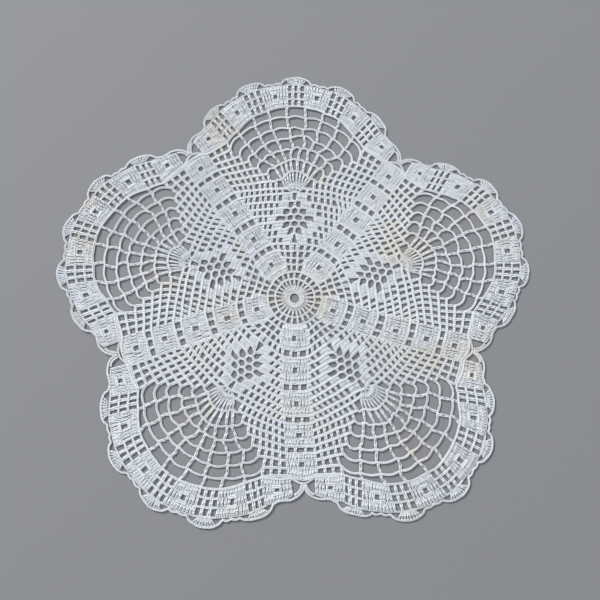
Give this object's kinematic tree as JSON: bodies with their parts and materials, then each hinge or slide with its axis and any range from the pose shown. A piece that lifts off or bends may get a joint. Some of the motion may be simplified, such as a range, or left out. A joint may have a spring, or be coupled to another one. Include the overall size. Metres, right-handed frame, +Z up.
{
  "type": "lace doily",
  "caption": "Flat crocheted cotton lace doily with rounded lobes, solid spokes, filet mesh, diamonds of blocks, open fans of net and a scalloped edging.",
  "frame": {"origin": "middle of the doily's overall box, on the plane that it rests on; the ring that the work starts on lies 3 mm left and 10 mm below it", "axes": "+Z up, out of the right side of the lace; +Y towards the lobe whose axis points straight up; +X to the right, the longest extent"},
  "size_m": [0.3241, 0.3139, 0.0016],
  "materials": {
    "cotton": "matt bleached cotton thread, crocheted, off-white with faint cream stains of age"
  },
  "bodies": {
    "root": {"doily": "cotton"}
  },
  "joints": []
}
